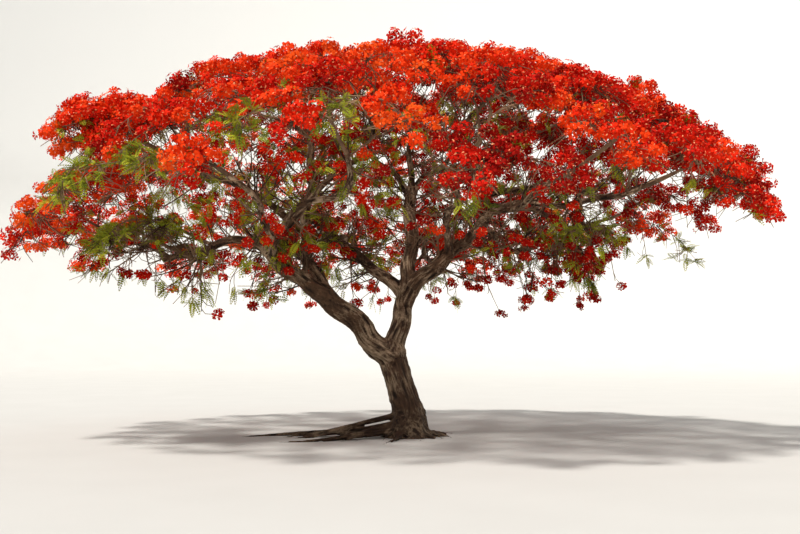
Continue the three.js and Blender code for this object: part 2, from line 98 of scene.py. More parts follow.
LIMBS = [
    dict(name="left_stem", on="trunk", at=0.86, to=(-1.54, -0.18, 2.62),
         leave=(182, 38), arrive=(186, 44), radius=(0.208, 0.180)),
    dict(name="mid_stem", on="trunk", at=0.93, to=(0.065, 0.09, 2.68),
         leave=(40, 78), arrive=(20, 72), radius=(0.184, 0.162)),
    dict(name="left_arm", on="left_stem", at=0.95, to=(-2.5, -0.52, 3.34),
         leave=(196, 26), arrive=(205, 46), radius=(0.158, 0.105)),
    dict(name="left_upright", on="left_stem", at=0.84, to=(-1.9, 0.5, 4.08),
         leave=(166, 52), arrive=(110, 76), radius=(0.136, 0.098)),
    dict(name="left_low_limb", on="left_arm", at=0.96, to=(-4.2, -0.9, 3.08),
         leave=(188, 34), arrive=(190, -14), radius=(0.078, 0.056)),
    dict(name="mid_left_limb", on="mid_stem", at=0.84, to=(-1.43, 1.32, 3.76),
         leave=(140, 46), arrive=(128, 38), radius=(0.112, 0.086)),
    dict(name="centre_stem", on="mid_stem", at=0.96, to=(0.09, 0.42, 4.5),
         leave=(100, 82), arrive=(80, 78), radius=(0.138, 0.106)),
    dict(name="right_stem", on="mid_stem", at=0.97, to=(1.29, 0, 3.65),
         leave=(-10, 48), arrive=(-4, 38), radius=(0.148, 0.120)),
    dict(name="right_upright", on="right_stem", at=0.96, to=(1.4, -0.02, 4.95),
         leave=(10, 58), arrive=(185, 84), radius=(0.112, 0.084)),
]
HANDLE = 0.36
COLLAR = 0.28
COLLAR_FADE = 9
WAVER = 0.03
WAVER_TURNS = (9, 8, 10)
WAVER_SIZES = (1, 1, 0.7)
LIMB_SEED = 11
LIMB_STEPS = 6
FINE_STEPS = 30
LIMB_SIDES = 20
ARC_SAMPLES = 201
NEAR_UPRIGHT = 0.3
DRAW_START = (7919, 104729)
DRAW_FACTOR = 48271
DRAW_LIMIT = 2147483647


def draws(seed):
    """The part's repeatable stream of numbers from 0 to 1."""
    factor, shift = DRAW_START
    state = (seed * factor + shift) % DRAW_LIMIT
    while True:
        state = state * DRAW_FACTOR % DRAW_LIMIT
        yield state / DRAW_LIMIT


def unit(vectors):
    """Vectors of length 1 that point the same way."""
    return vectors / np.maximum(np.linalg.norm(vectors, axis=-1, keepdims=True), 1e-9)


def way(turn, rise):
    """The way that a heading and a rise in degrees point."""
    turn, rise = math.radians(turn), math.radians(rise)
    return np.array([math.cos(turn) * math.cos(rise), math.sin(turn) * math.cos(rise), math.sin(rise)])


def through(points, share):
    """A point on the smooth curve through some points."""
    points = [np.array(point, float) for point in points]
    place = share * (len(points) - 1)
    k = min(int(place), len(points) - 2)
    t = place - k
    p1, p2 = points[k], points[k + 1]
    p0 = points[k - 1] if k else 2 * p1 - p2
    p3 = points[k + 2] if k + 2 < len(points) else 2 * p2 - p1
    d0, d1, d2 = (math.sqrt(np.linalg.norm(b - a)) for a, b in ((p0, p1), (p1, p2), (p2, p3)))
    leave = ((p1 - p0) / d0 - (p2 - p0) / (d0 + d1) + (p2 - p1) / d1) * d1
    arrive = ((p2 - p1) / d1 - (p3 - p1) / (d1 + d2) + (p3 - p2) / d2) * d1
    bend = -3 * p1 + 3 * p2 - 2 * leave - arrive
    twist = 2 * p1 - 2 * p2 + leave + arrive
    return p1 + t * (leave + t * (bend + t * twist))


def bent(start, bend, end, share):
    """Points of a curve between two ends that is drawn towards its bend."""
    return (1 - share) ** 2 * start + 2 * share * (1 - share) * bend + share ** 2 * end


def run_along(points):
    """How far along a line each of its points lies."""
    return np.append(0, np.cumsum(np.linalg.norm(np.diff(points, axis=0), axis=1)))


def spaced(curve, steps):
    """Points evenly far apart along a curve, which is a function of a share."""
    points = np.array([curve(share) for share in np.linspace(0, 1, ARC_SAMPLES)])
    run = run_along(points)
    shares = np.interp(np.linspace(0, run[-1], steps + 1), run, np.linspace(0, 1, ARC_SAMPLES))
    return np.array([curve(share) for share in shares])


def limb_line(start, limb, steps, seed):
    """The points of a limb: a curve between its ends with a small seeded waver."""
    draw = draws(seed)
    end = np.array(limb["to"], float)
    reach = np.linalg.norm(end - start)
    first = start + way(*limb["leave"]) * HANDLE * reach
    last = end - way(*limb["arrive"]) * HANDLE * reach

    def curve(t):
        u = 1 - t
        return u ** 3 * start + 3 * u * u * t * first + 3 * u * t * t * last + t ** 3 * end

    sway = [2 * math.pi * next(draw) for _ in range(3)]
    line = spaced(curve, steps)
    share = np.linspace(0, 1, steps + 1)
    swing = reach * WAVER * np.sin(math.pi * share)
    for axis in range(3):
        line[:, axis] += swing * WAVER_SIZES[axis] * np.sin(WAVER_TURNS[axis] * share + sway[axis])
    return line


def grow_limb(limb):
    """Adds a limb that starts on the line of the one that bears it."""
    start = through(wood[limb["on"]]["coarse"], limb["at"])
    seed = len(wood) + LIMB_SEED
    share = np.linspace(0, 1, FINE_STEPS + 1)
    taper = limb["radius"][0] + (limb["radius"][1] - limb["radius"][0]) * share
    wood[limb["name"]] = dict(
        coarse=limb_line(start, limb, LIMB_STEPS, seed),
        line=limb_line(start, limb, FINE_STEPS, seed),
        radii=taper * (1 + COLLAR * np.exp(-COLLAR_FADE * share)),
    )


def trunk_surface(ring, turn):
    """A point of the trunk, with its taper, root flare, flutes and the swelling below its fork."""
    share = ring / TRUNK_RINGS
    centre = Vector(trunk_rings[ring])
    flare = FLARE * math.exp(-centre.z / FLARE_HEIGHT)
    near_fork = min(max((share - SWELL_FROM) / (SWELL_FULL - SWELL_FROM), 0), 1)
    swell = FORK_SWELL * near_fork ** 2 * (3 - 2 * near_fork) * max(0, -math.cos(turn)) ** 2
    flutes = 1 + FLUTE_DEPTH * (1 - FLUTE_FADE * share) * math.sin(FLUTES * turn + FLUTE_TWIST * share)
    past_crotch = max(0, (share - CROTCH) / (1 - CROTCH))
    closing = math.sqrt(1 - CROTCH_CLOSING * past_crotch ** 2)
    girth = (TRUNK_WAIST + (TRUNK_TIP - TRUNK_WAIST) * share + flare + swell) * flutes * closing
    return centre + girth * Vector((math.cos(turn), math.sin(turn), 0))


def grow_tube(bm, rings, sides, surface):
    """A closed tube: a circle extruded ring by ring, its points put where surface says."""
    circle = bmesh.ops.create_circle(bm, segments=sides, radius=1)["verts"]
    turns = {vert: math.atan2(vert.co.y, vert.co.x) for vert in circle}
    edges = {edge for vert in circle for edge in vert.link_edges}
    bmesh.ops.contextual_create(bm, geom=list(edges))
    for ring in range(rings):
        if ring:
            grown = bmesh.ops.extrude_edge_only(bm, edges=list(edges))["geom"]
            fresh = {part for part in grown if isinstance(part, bmesh.types.BMVert)}
            links = [(vert, edge.other_vert(vert), edge) for vert in fresh for edge in vert.link_edges]
            edges = {edge for _, other, edge in links if other in fresh}
            turns = {vert: turns[other] for vert, other, _ in links if other in turns}
        for vert, turn in turns.items():
            vert.co = surface(ring, turn)
    bmesh.ops.contextual_create(bm, geom=list(edges))


def grow_round(bm, line, radii, sides):
    """A closed round tube along a line, carried along without a twist."""
    tangents = np.gradient(line, axis=0)
    side = Vector((0, 0, 1)).cross(Vector(tangents[0]))
    if side.length < NEAR_UPRIGHT * Vector(tangents[0]).length:
        side = Vector((0, 1, 0))
    frames = []
    for tangent in tangents:
        ahead = Vector(tangent).normalized()
        side = (side - ahead * side.dot(ahead)).normalized()
        frames.append((side.copy(), ahead.cross(side)))

    def surface(ring, turn):
        side, across = frames[ring]
        outward = math.cos(turn) * side + math.sin(turn) * across
        return Vector(line[ring]) + outward * float(radii[ring])

    grow_tube(bm, len(line), sides, surface)


def root_line(root):
    """A ridge comes out of the collar, drops to the ground and bends as it sinks into it."""
    points = []
    place = way(root["heading"], 0) * ROOT_INSET
    for i in range(ROOT_STEPS + 1):
        share = i / ROOT_STEPS
        place[2] = root["rise"] * root["girth"] * (1 - share) ** ROOT_FALL - ROOT_SINK * share
        points.append(place.copy())
        heading = root["heading"] + root["bend"] * math.sin(math.pi * ROOT_BENDS * share)
        place = place + way(heading, 0) * root["length"] / ROOT_STEPS
    line = spaced(lambda share: through(points, share), FINE_STEPS)
    share = np.linspace(0, 1, FINE_STEPS + 1)
    return line, root["girth"] * (1 + (ROOT_TIP - 1) * share ** ROOT_TAPER)


trunk_rings = np.array([through(TRUNK_LINE, share) for share in np.linspace(0, 1, TRUNK_RINGS + 1)])
wood = {"trunk": dict(
    coarse=spaced(lambda share: through(TRUNK_LINE, share), TRUNK_STEPS),
    line=trunk_rings,
    radii=np.linspace(TRUNK_WAIST, TRUNK_TIP, TRUNK_RINGS + 1),
)}
for limb in LIMBS:
    grow_limb(limb)
for number, root in enumerate(ROOTS):
    line, radii = root_line(root)
    wood[f"root_{number}"] = dict(line=line, radii=radii)

# The crown's dome and its masses, each at the end of a bough.
CROWN_TOP = 6.88
CROWN_DROP = 2.9
CROWN_CURVE = 2.4
CROWN_RIGHT = 6.35
CROWN_LEFT = 6.85
CROWN_NEAR = 6.0
CROWN_FAR = 6.45
CROWN_DEPTH = 1.25
SLOPE_STEP = 0.1
MASSES = [
    dict(name="crown_top", on="centre_stem", at=0.97, heading=150, out=0.25),
    dict(name="top_right", on="right_upright", at=0.96, heading=8, out=2.95),
    dict(name="top_far_right", on="centre_stem", at=0.9, heading=58, out=2.9),
    dict(name="top_far_left", on="centre_stem", at=0.93, heading=112, out=2.9),
    dict(name="top_left_far", on="left_upright", at=0.96, heading=160, out=3.05, lift=0.25),
    dict(name="top_left", on="left_upright", at=0.9, heading=206, out=3.15, lift=0.22),
    dict(name="top_near_left", on="left_arm", at=0.9, heading=250, out=2.8),
    dict(name="top_near_right", on="right_upright", at=0.7, heading=302, out=2.85),
    dict(name="right_tip", on="right_upright", at=0.55, heading=358, out=5.25, lift=0.52),
    dict(name="right_far", on="right_upright", at=0.4, heading=26, out=5.3, lift=0.15),
    dict(name="far_right", on="right_stem", at=0.9, heading=52, out=5.3, lift=-0.2),
    dict(name="far_mid_right", on="centre_stem", at=0.45, heading=78, out=5.3, lift=-0.35),
    dict(name="far_mid_left", on="mid_left_limb", at=0.9, heading=104, out=5.3, lift=-0.35),
    dict(name="far_left", on="mid_left_limb", at=0.96, heading=130, out=5.45, lift=-0.3),
    dict(name="left_far", on="left_upright", at=0.5, heading=155, out=5.6, lift=-0.2),
    dict(name="left_tip", on="left_low_limb", at=0.96, heading=182, out=5.8, lift=-0.4),
    dict(name="left_lobe", on="left_upright", at=0.75, heading=207, out=5.45, lift=0.74,
         reach=0.85, sprays=13),
    dict(name="near_left", on="left_arm", at=0.8, heading=231, out=5.2, lift=0.15),
    dict(name="near_mid_left", on="left_arm", at=0.97, heading=257, out=4.9, lift=0.3),
    dict(name="near_mid_right", on="right_stem", at=0.6, heading=283, out=4.9, lift=0.3),
    dict(name="near_right", on="right_stem", at=0.85, heading=309, out=5.05, lift=0.28),
    dict(name="right_near", on="right_upright", at=0.3, heading=334, out=5.2, lift=0.2),
    dict(name="low_left", on="left_low_limb", at=0.5, heading=199, out=4.75, lift=-1.5,
         reach=1.0, sprays=10, leafy=True),
    dict(name="low_right", on="right_stem", at=0.75, heading=4, out=3.2, lift=-1.9,
         reach=0.8, sprays=8, leafy=True),
]
BOUGH_RADIUS = (0.068, 0.042)
BOUGH_LIFT = 17
BOUGH_STEEPEST = 78
BOUGH_SIDES = 14
FOOT_INSET = 0.95
FOOT_DROP = 0.42
FOOT_SHARE = 0.8


def crown_height(x, y):
    """Height of the crown's upper surface over a place on the ground."""
    across_x = x / (CROWN_RIGHT if x > 0 else CROWN_LEFT)
    across_y = y / (CROWN_FAR if y > 0 else CROWN_NEAR)
    return CROWN_TOP - CROWN_DROP * math.hypot(across_x, across_y) ** CROWN_CURVE


def crown_normal(x, y):
    slope_x = crown_height(x - SLOPE_STEP, y) - crown_height(x + SLOPE_STEP, y)
    slope_y = crown_height(x, y - SLOPE_STEP) - crown_height(x, y + SLOPE_STEP)
    return unit(np.array([slope_x, slope_y, 2 * SLOPE_STEP]))


def heading_and_rise(start, end):
    ahead = unit(end - start)
    return math.degrees(math.atan2(ahead[1], ahead[0])), math.degrees(math.asin(ahead[2]))


for mass in MASSES:
    outward = way(mass["heading"], 0)
    middle = outward * mass["out"]
    middle[2] = crown_height(*middle[:2]) + mass.get("lift", 0) - CROWN_DEPTH / 2
    foot = middle - outward * min(FOOT_INSET, mass["out"] * FOOT_SHARE)
    foot[2] -= FOOT_DROP
    mass["middle"], mass["foot"] = middle, foot
    start = through(wood[mass["on"]]["coarse"], mass["at"])
    heading, rise = heading_and_rise(start, foot)
    grow_limb(dict(
        name=f"bough_{mass['name']}", on=mass["on"], at=mass["at"], to=foot, radius=BOUGH_RADIUS,
        leave=(heading, min(rise + BOUGH_LIFT, BOUGH_STEEPEST)), arrive=heading_and_rise(foot, middle),
    ))
boughs = [f"bough_{mass['name']}" for mass in MASSES]

# One skin of bark with relief, thin side roots and broken stubs. A bough parts into two meshes, and its
# round ends there are drawn in by the shares of COLLAR_END and BOUGH_START.
BARK_VOXEL = 0.0195
BOUGH_VOXEL = 0.0225
COLLAR_END = np.array([1, 1, 1, 1, 0.98, 0.92, 0.78])
BOUGH_START = np.array([0.78, 0.92, 0.98])
DICE_SEED = 7
ROOTLETS = 4
ROOTLET_FROM = 2
ROOTLET_GIRTH = (0.022, 0.034)
ROOTLET_OF_ROOT = 0.5
ROOTLET_TAPER = 0.6
ROOTLET_LENGTH = (0.4, 1.1)
ROOTLET_TURN = 38
ROOTLET_BEND = 40
ROOTLET_RISE = 0.6
ROOTLET_STEPS = 11
ROOTLET_SIDES = 8
STUBS = [
    dict(on="left_upright", at=0.22, heading=196, rise=18, length=0.2, girth=0.07),
    dict(on="left_stem", at=0.6, heading=80, rise=60, length=0.14, girth=0.06),
    dict(on="right_stem", at=0.35, heading=-60, rise=-8, length=0.16, girth=0.06),
    dict(on="centre_stem", at=0.4, heading=250, rise=24, length=0.2, girth=0.045),
    dict(on="mid_left_limb", at=0.5, heading=230, rise=30, length=0.15, girth=0.045),
]
STUB_BURIED = (0.16, 0.1)
STUB_SWELL = 1.25
STUB_TAPER = 0.4
STUB_STEPS = 7
EASE_FACTOR = 0.5
EASE_TURNS = 6
RIDGE_SCALE = 0.075
RIDGE_STRETCH = 5
RIDGE_DEPTH = 0.075
RIDGE_MIDDLE = 0.6
FINE_SCALE = 3.1
FINE_DEPTH = 0.028
LUMP_SCALE = 0.26
LUMP_SIZE = 0.24
LUMP_FROM = 0.18
PATTERN_SHIFT = 17.0
HEIGHT_MIDDLE = 0.4
HEIGHT_OF_FINE = 0.3
MID_TONE_RANGE = (0.2, 0.75)
LICHEN_RANGE = (0.47, 0.6)
LICHEN_RIDGE_RANGE = (0.3, 0.7)
LICHEN_SHARE = 0.85
FLECK_RANGE = (0.56, 0.68)
FLECK_SHARE = 0.5
# How much the bark darkens near the ground, and over which heights: painted shade of the crown over the
# trunk.
FOOT_SHADE = 0.6
FOOT_SHADE_RISE = (3.2, 0.4)
dice = np.random.default_rng(DICE_SEED)


def rootlets(root):
    """Thin roots that part from a ridge and run beside it over the ground."""
    for _ in range(ROOTLETS):
        at = int(dice.integers(ROOTLET_FROM, FINE_STEPS // 2))
        start = root["line"][at]
        heading = heading_and_rise(start, root["line"][at + 1])[0]
        heading += dice.uniform(-ROOTLET_TURN, ROOTLET_TURN)
        girth = min(dice.uniform(*ROOTLET_GIRTH), ROOTLET_OF_ROOT * root["radii"][at])
        half = 0.5 * dice.uniform(*ROOTLET_LENGTH)
        bend = start + half * way(heading, 0)
        end = bend + half * way(heading + dice.uniform(-ROOTLET_BEND, ROOTLET_BEND), 0)
        bend[2] = 0.5 * start[2] + ROOTLET_RISE * girth
        end[2] = -0.5 * girth
        share = np.linspace(0, 1, ROOTLET_STEPS + 1)[:, None]
        yield bent(start, bend, end, share), girth * (1 - ROOTLET_TAPER * share[:, 0])


def broken_stub(stub):
    """The short stump that is left where a limb broke off."""
    start = through(wood[stub["on"]]["coarse"], stub["at"])
    share = np.linspace(0, 1, STUB_STEPS + 1)[:, None]
    reach = stub["length"] + float(np.interp(stub["at"], (0, 1), STUB_BURIED))
    line = start + share * reach * way(stub["heading"], stub["rise"])
    return line, stub["girth"] * (STUB_SWELL - STUB_TAPER * share[:, 0])


def placed(name, data):
    """A new object of the scene."""
    item = bpy.data.objects.new(name, data)
    bpy.context.collection.objects.link(item)
    return item


def one_skin(name, bm, voxel):
    """Melts overlapping tubes into one skin and eases the creases where they meet."""
    mesh = bpy.data.meshes.new(name)
    bm.to_mesh(mesh)
    bm.free()
    rough = placed(name, mesh)
    remesh = rough.modifiers.new("skin", "REMESH")
    remesh.mode = "VOXEL"
    remesh.voxel_size = voxel
    ease = rough.modifiers.new("ease", "SMOOTH")
    ease.factor = EASE_FACTOR
    ease.iterations = EASE_TURNS
    whole = bpy.data.meshes.new_from_object(rough.evaluated_get(bpy.context.evaluated_depsgraph_get()))
    bpy.data.objects.remove(rough)
    whole.name = name
    return whole


def raise_bark(mesh, limbs):
    """Ridges and furrows that run along each limb, and lumps of old wounds, as real relief."""
    samples = []
    for number, limb in enumerate(limbs):
        line, radii = limb["line"], limb["radii"]
        run = run_along(line)
        ahead = np.gradient(line, axis=0)
        for i, point in enumerate(line):
            samples.append((Vector(point), Vector(ahead[i]).normalized(), run[i], radii[i], number))
    nearest = kdtree.KDTree(len(samples))
    for index, sample in enumerate(samples):
        nearest.insert(sample[0], index)
    nearest.balance()
    grain = np.empty((len(mesh.vertices), 3), np.float32)
    height = np.empty(len(mesh.vertices), np.float32)
    moved = np.empty((len(mesh.vertices), 3), np.float32)
    for vert in mesh.vertices:
        centre, ahead, run, radius, number = samples[nearest.find(vert.co)[1]]
        out = vert.co - centre
        along = out.dot(ahead)
        out -= ahead * along
        place = out / RIDGE_SCALE + ahead * ((run + along) / RIDGE_SCALE / RIDGE_STRETCH)
        place += Vector((PATTERN_SHIFT * number, 0, 0))
        ridge = 1 - 2 * abs(noise.noise(place))
        fine = noise.noise(place * FINE_SCALE)
        lump = max(0, noise.noise(vert.co / LUMP_SCALE) - LUMP_FROM) * LUMP_SIZE
        rise = radius * (RIDGE_DEPTH * (ridge - RIDGE_MIDDLE) + FINE_DEPTH * fine + lump)
        moved[vert.index] = vert.co + vert.normal * rise
        grain[vert.index] = place
        level = 0.5 + 0.5 * (ridge - HEIGHT_MIDDLE) + HEIGHT_OF_FINE * fine
        height[vert.index] = min(max(level, 0), 1)
    mesh.vertices.foreach_set("co", moved.ravel())
    mesh.attributes.new("grain", "FLOAT_VECTOR", "POINT").data.foreach_set("vector", grain.ravel())
    mesh.attributes.new("height", "FLOAT", "POINT").data.foreach_set("value", height)


def cut_at_ground(mesh):
    """The flat cut where the tree stands in the ground."""
    bm = bmesh.new()
    bm.from_mesh(mesh)
    cut = bmesh.ops.bisect_plane(bm, geom=bm.verts[:] + bm.edges[:] + bm.faces[:], dist=1e-5,
                                 plane_co=(0, 0, 0), plane_no=(0, 0, -1), clear_outer=True)["geom_cut"]
    rim = [part for part in cut if isinstance(part, bmesh.types.BMEdge)]
    bmesh.ops.holes_fill(bm, edges=rim, sides=0)
    bm.to_mesh(mesh)
    bm.free()


class Value:
    """A number that changes over a surface, so that shader maths is written as an expression."""

    def __init__(self, shader, socket):
        self.shader = shader
        self.socket = socket

    def maths(self, operation, first, second):
        return self.shader.node("ShaderNodeMath", dict(operation=operation), {0: first, 1: second})

    def __add__(self, other):
        return self.maths("ADD", self, other)

    def __mul__(self, other):
        return self.maths("MULTIPLY", self, other)

    __radd__ = __add__
    __rmul__ = __mul__


class Shader:
    """A material of one Principled surface."""

    def __init__(self, name, values):
        self.material = bpy.data.materials.new(name)
        self.material.use_nodes = True
        self.tree = self.material.node_tree
        self.surface = self.tree.nodes["Principled BSDF"]
        self.feed(self.surface, values)

    def feed(self, node, values):
        for key, value in values.items():
            if isinstance(value, Value):
                self.tree.links.new(value.socket, node.inputs[key])
            else:
                node.inputs[key].default_value = value

    def node(self, kind, settings=None, values=None, out=0):
        node = self.tree.nodes.new(kind)
        for key, value in (settings or {}).items():
            setattr(node, key, value)
        self.feed(node, values or {})
        return Value(self, node.outputs[out])

    def place(self):
        """Where a point of the surface lies."""
        return self.node("ShaderNodeTexCoord", out=3)

    def rise(self, place):
        """The height of a place over the ground."""
        return self.node("ShaderNodeSeparateXYZ", values={0: place}, out=2)

    def noise(self, place, scale, detail):
        values = {"Vector": place, "Scale": scale, "Detail": detail}
        return self.node("ShaderNodeTexNoise", values=values)

    def ramp(self, factor, low, high):
        """How far a value lies between two others, from 0 to 1."""
        return self.node("ShaderNodeMapRange", dict(clamp=True), {0: factor, 1: low, 2: high})

    def blend(self, factor, first, second):
        """The mix of two colours."""
        return self.node("ShaderNodeMix", dict(data_type="RGBA"), {0: factor, 6: first, 7: second}, 2)


def tone(red, green, blue):
    """A colour as a screen shows it, from 0 to 255, as the light that it sends back."""
    share = np.array([red, green, blue]) / 255
    light = np.where(share <= 0.04045, share / 12.92, ((share + 0.055) / 1.055) ** 2.4)
    return (*light, 1)


def bark(name, dark, mid, pale):
    """Thin grey-brown bark: dark furrows, paler ridges, lichen patches, and painted shade that darkens
    it towards the ground under the crown.
    """
    shader = Shader(name, {"Roughness": 0.9, "Specular IOR Level": 0.25})
    place = shader.place()
    grain = shader.node("ShaderNodeAttribute", dict(attribute_name="grain"), out=1)
    height = shader.node("ShaderNodeAttribute", dict(attribute_name="height"), out=2)
    broad = shader.noise(place, scale=2.2, detail=4)
    streak = shader.noise(grain, scale=2.4, detail=6)
    fleck = shader.noise(place, scale=34, detail=3)
    base = shader.blend(shader.ramp(height * 0.7 + streak * 0.3, *MID_TONE_RANGE), dark, mid)
    on_ridges = shader.ramp(height, *LICHEN_RIDGE_RANGE)
    lichen = shader.ramp(broad * 0.6 + streak * 0.4, *LICHEN_RANGE) * on_ridges
    aged = shader.blend(lichen * LICHEN_SHARE, base, pale)
    spotted = shader.blend(shader.ramp(fleck, *FLECK_RANGE) * FLECK_SHARE, aged, dark)
    # Painted shade: the bark darkens towards the ground, standing for the crown's shade over the trunk
    # and stems.
    foot = shader.ramp(shader.rise(place), *FOOT_SHADE_RISE)
    painted_shade_foot = shader.blend(foot * FOOT_SHADE, spotted, dark)
    relief = streak * 0.7 + fleck * 0.3
    bump = shader.node("ShaderNodeBump", values={"Height": relief, "Strength": 0.6, "Distance": 0.02})
    shader.feed(shader.surface, {"Base Color": painted_shade_foot, "Normal": bump})
    return shader.material


def finished_piece(name, mesh, material, nodes):
    """Puts a mesh with its material in the place of some of the solids."""
    mesh.materials.append(material)
    piece = placed(name, mesh)
    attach(piece, "root")
    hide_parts(*nodes)


def wood_piece(name, mesh, material, nodes):
    mesh.shade_smooth()
    finished_piece(name, mesh, material, nodes)


bark_material = bark("grey_brown_bark", dark=tone(26, 17, 12), mid=tone(104, 78, 58),
                     pale=tone(198, 172, 142))
trunk_body = bmesh.new()
grow_tube(trunk_body, TRUNK_RINGS + 1, TRUNK_SIDES, trunk_surface)
bough_body = bmesh.new()
for name, part in wood.items():
    if name in boughs:
        inner = len(COLLAR_END)
        grow_round(trunk_body, part["line"][:inner], part["radii"][:inner] * COLLAR_END, LIMB_SIDES)
        outer = inner - len(BOUGH_START)
        radii = part["radii"][outer:].copy()
        radii[:len(BOUGH_START)] *= BOUGH_START
        grow_round(bough_body, part["line"][outer:], radii, BOUGH_SIDES)
    elif name != "trunk":
        grow_round(trunk_body, part["line"], part["radii"], LIMB_SIDES)
for root in range(len(ROOTS)):
    for line, radii in rootlets(wood[f"root_{root}"]):
        grow_round(trunk_body, line, radii, ROOTLET_SIDES)
for stub in STUBS:
    grow_round(trunk_body, *broken_stub(stub), LIMB_SIDES)
trunk_mesh = one_skin("bark_of_trunk_and_limbs", trunk_body, BARK_VOXEL)
raise_bark(trunk_mesh, wood.values())
cut_at_ground(trunk_mesh)
trunk_nodes = ["trunk"] + [limb["name"] for limb in LIMBS]
wood_piece("bark_of_trunk_and_limbs", trunk_mesh, bark_material, trunk_nodes)

bough_mesh = one_skin("bark_of_boughs", bough_body, BOUGH_VOXEL)
raise_bark(bough_mesh, [wood[name] for name in boughs])
wood_piece("bark_of_boughs", bough_mesh, bark_material, boughs)

# Twigs
# Each bough runs on as a stem with twigs that part again and again, the last of them thinner than a
# finger. A twig springs from a bud near its end and bends round to it. Inside the crown they are a bare
# brown tangle, and some hang down under it.
DOME_SPRAYS = 300
DOME_SPREAD = 0.47
SPRAY_SINK = 0.5
RIM_DROP = 0.35
LOBE_SHARE = 0.8
TIP_FROM = 5.7
TIP_RISE = 0.4
HOLLOWS = [
    dict(x=0, y=-2.4, reach=2.6, depth=0.26),
    dict(x=4.4, y=-2.4, reach=2.2, depth=0.22),
]
GOLDEN_ANGLE = math.pi * (3 - math.sqrt(5))
STEM_RADIUS = (0.038, 0.022)
STEM_CROOK = 0.05
STEM_BUDS = (0.25, 0.4, 0.55, 0.7, 0.85, 1)
TWIG_TAPER = (0.62, 0.45)
TWIG_CROOK = 0.06
TWIG_BUDS = (0.25, 0.45, 0.65, 0.85, 0.97)
FINE_TAPER = (0.6, 0.3)
FINE_CROOK = 0.05
THINNEST = 0.006
BEARER_PULL = 0.8
STEEP = 0.9
HUB_SINK = 0.1
SEED_DOME = 1
SEED_LOBES = 51
CLUSTERS_IN_BLOOM = (7, 10)
CLUSTERS_IN_LEAF = (6, 8)
CLUMP_SPREAD = 0.36
CLUMP_START = 0.3
CLUMP_VARIES = (0.85, 1.15)
CLUMP_LIFT = (-0.2, 0.05)
CLUMP_CURVE = 0.4
CLUMP_SIDE = (0.3, 1, 0.2)
CLUSTER_APART = 0.17
TIP_LIFT = 0.2
IN_BLOOM = 0.97
IN_BLOOM_LEFT = 0.72
BARE_LEFT = 0.07
LEFT_FROM = -1.3
FULL_ON_LEFT = ["left_lobe", "left_tip"]
LOW_BY = 0.42
ALL_BLOOM_ABOVE = 6.1
IN_BLOOM_LOW = 0.93
LEAFY_SHARES = (0.5, 0.2, 0.3)


def beside(ways):
    """Directions that never run along others: X beside the steep ones, Z beside the rest."""
    return np.where(np.abs(ways[..., 2:]) > STEEP, (1.0, 0, 0), (0, 0, 1.0))


def sweep(rows, sides, steps):
    """Many thin bent twigs at once, each a tapering tube: start, bend, end and radius at both ends."""
    starts, bends, ends, first, last = (np.array(column) for column in zip(*rows))
    share = np.linspace(0, 1, steps + 1)[None, :, None]
    starts, bends, ends = (part[:, None, :] for part in (starts, bends, ends))
    line = bent(starts, bends, ends, share)
    ahead = unit(np.gradient(line, axis=1))
    side = unit(np.cross(ahead, beside(ahead)))
    across = np.cross(ahead, side)
    radii = first[:, None, None] * (1 - share) + last[:, None, None] * share
    turns = np.arange(sides) * 2 * math.pi / sides
    ring = side[:, :, None] * np.cos(turns)[:, None] + across[:, :, None] * np.sin(turns)[:, None]
    points = (line[:, :, None] + radii[:, :, None] * ring).reshape(-1, 3)
    base = np.arange(len(starts))[:, None, None] * (steps + 1) * sides
    low = base + np.arange(steps)[None, :, None] * sides
    here = np.arange(sides)[None, None, :]
    after = (here + 1) % sides
    faces = np.stack([low + here, low + after, low + after + sides, low + here + sides], axis=-1)
    return points, faces.reshape(-1, 4)


def mesh_of(name, groups):
    """One mesh of groups of points and faces. All faces of a group have the same count of corners."""
    corners, totals = [], []
    base = 0
    for points, faces in groups:
        corners.append((faces + base).ravel())
        totals.append(np.full(len(faces), faces.shape[1]))
        base += len(points)
    corners, totals = np.concatenate(corners), np.concatenate(totals)
    mesh = bpy.data.meshes.new(name)
    mesh.vertices.add(base)
    places = np.concatenate([points for points, _ in groups])
    mesh.vertices.foreach_set("co", places.astype(np.float32).ravel())
    mesh.loops.add(len(corners))
    mesh.loops.foreach_set("vertex_index", corners.astype(np.int32))
    mesh.polygons.add(len(totals))
    mesh.polygons.foreach_set("loop_start", np.append(0, np.cumsum(totals)[:-1]).astype(np.int32))
    mesh.update(calc_edges=True)
    mesh.validate()
    return mesh


def dome_places():
    """Places of the sprays along the dome, its two shallow hollows and its blunt right tip."""
    draw = draws(SEED_DOME)
    dealt = [[] for _ in MASSES]
    middles = np.array([mass["middle"][:2] for mass in MASSES])
    on_dome = np.array([not mass.get("sprays") for mass in MASSES])
    for k in range(DOME_SPRAYS):
        away = ((k + 0.5) / DOME_SPRAYS) ** DOME_SPREAD
        turn = k * GOLDEN_ANGLE
        x = away * math.cos(turn) * (CROWN_RIGHT if math.cos(turn) > 0 else CROWN_LEFT)
        y = away * math.sin(turn) * (CROWN_FAR if math.sin(turn) > 0 else CROWN_NEAR)
        sink = CROWN_DEPTH * SPRAY_SINK * next(draw) ** 2
        gaps = np.hypot(*(middles - (x, y)).T)
        index = int(np.argmin(np.where(on_dome, gaps, np.inf)))
        height = crown_height(x, y) + MASSES[index].get("lift", 0) - sink
        height += TIP_RISE * min(max((x - TIP_FROM) / (CROWN_RIGHT - TIP_FROM), 0), 1)
        for hollow in HOLLOWS:
            gap = math.hypot(x - hollow["x"], y - hollow["y"]) / hollow["reach"]
            height -= hollow["depth"] * max(0, 1 - gap)
        dealt[index].append((np.array([x, y, height]), sink))
    return dealt


